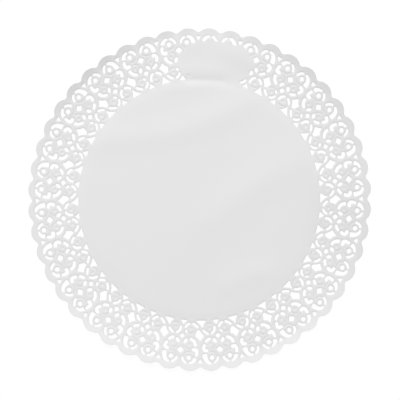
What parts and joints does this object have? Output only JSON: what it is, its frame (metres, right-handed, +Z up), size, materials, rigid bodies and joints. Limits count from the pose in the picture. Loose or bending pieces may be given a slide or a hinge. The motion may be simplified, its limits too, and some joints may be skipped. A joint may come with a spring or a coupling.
{
  "type": "paper lace doily",
  "caption": "Round white paper doily: a plain centre inside a wide band of die-cut, embossed lace with a scalloped rim and a small bare panel in the band.",
  "frame": {"origin": "centre of the round sheet, on the face that it lies on", "axes": "+Z up out of the sheet, +Y towards the bare panel in the lace band, +X to the right seen from above"},
  "size_m": [0.2994, 0.2994, 0.001],
  "materials": {
    "paper": "matt white embossed paper"
  },
  "bodies": {
    "root": {"doily": "paper"}
  },
  "joints": []
}
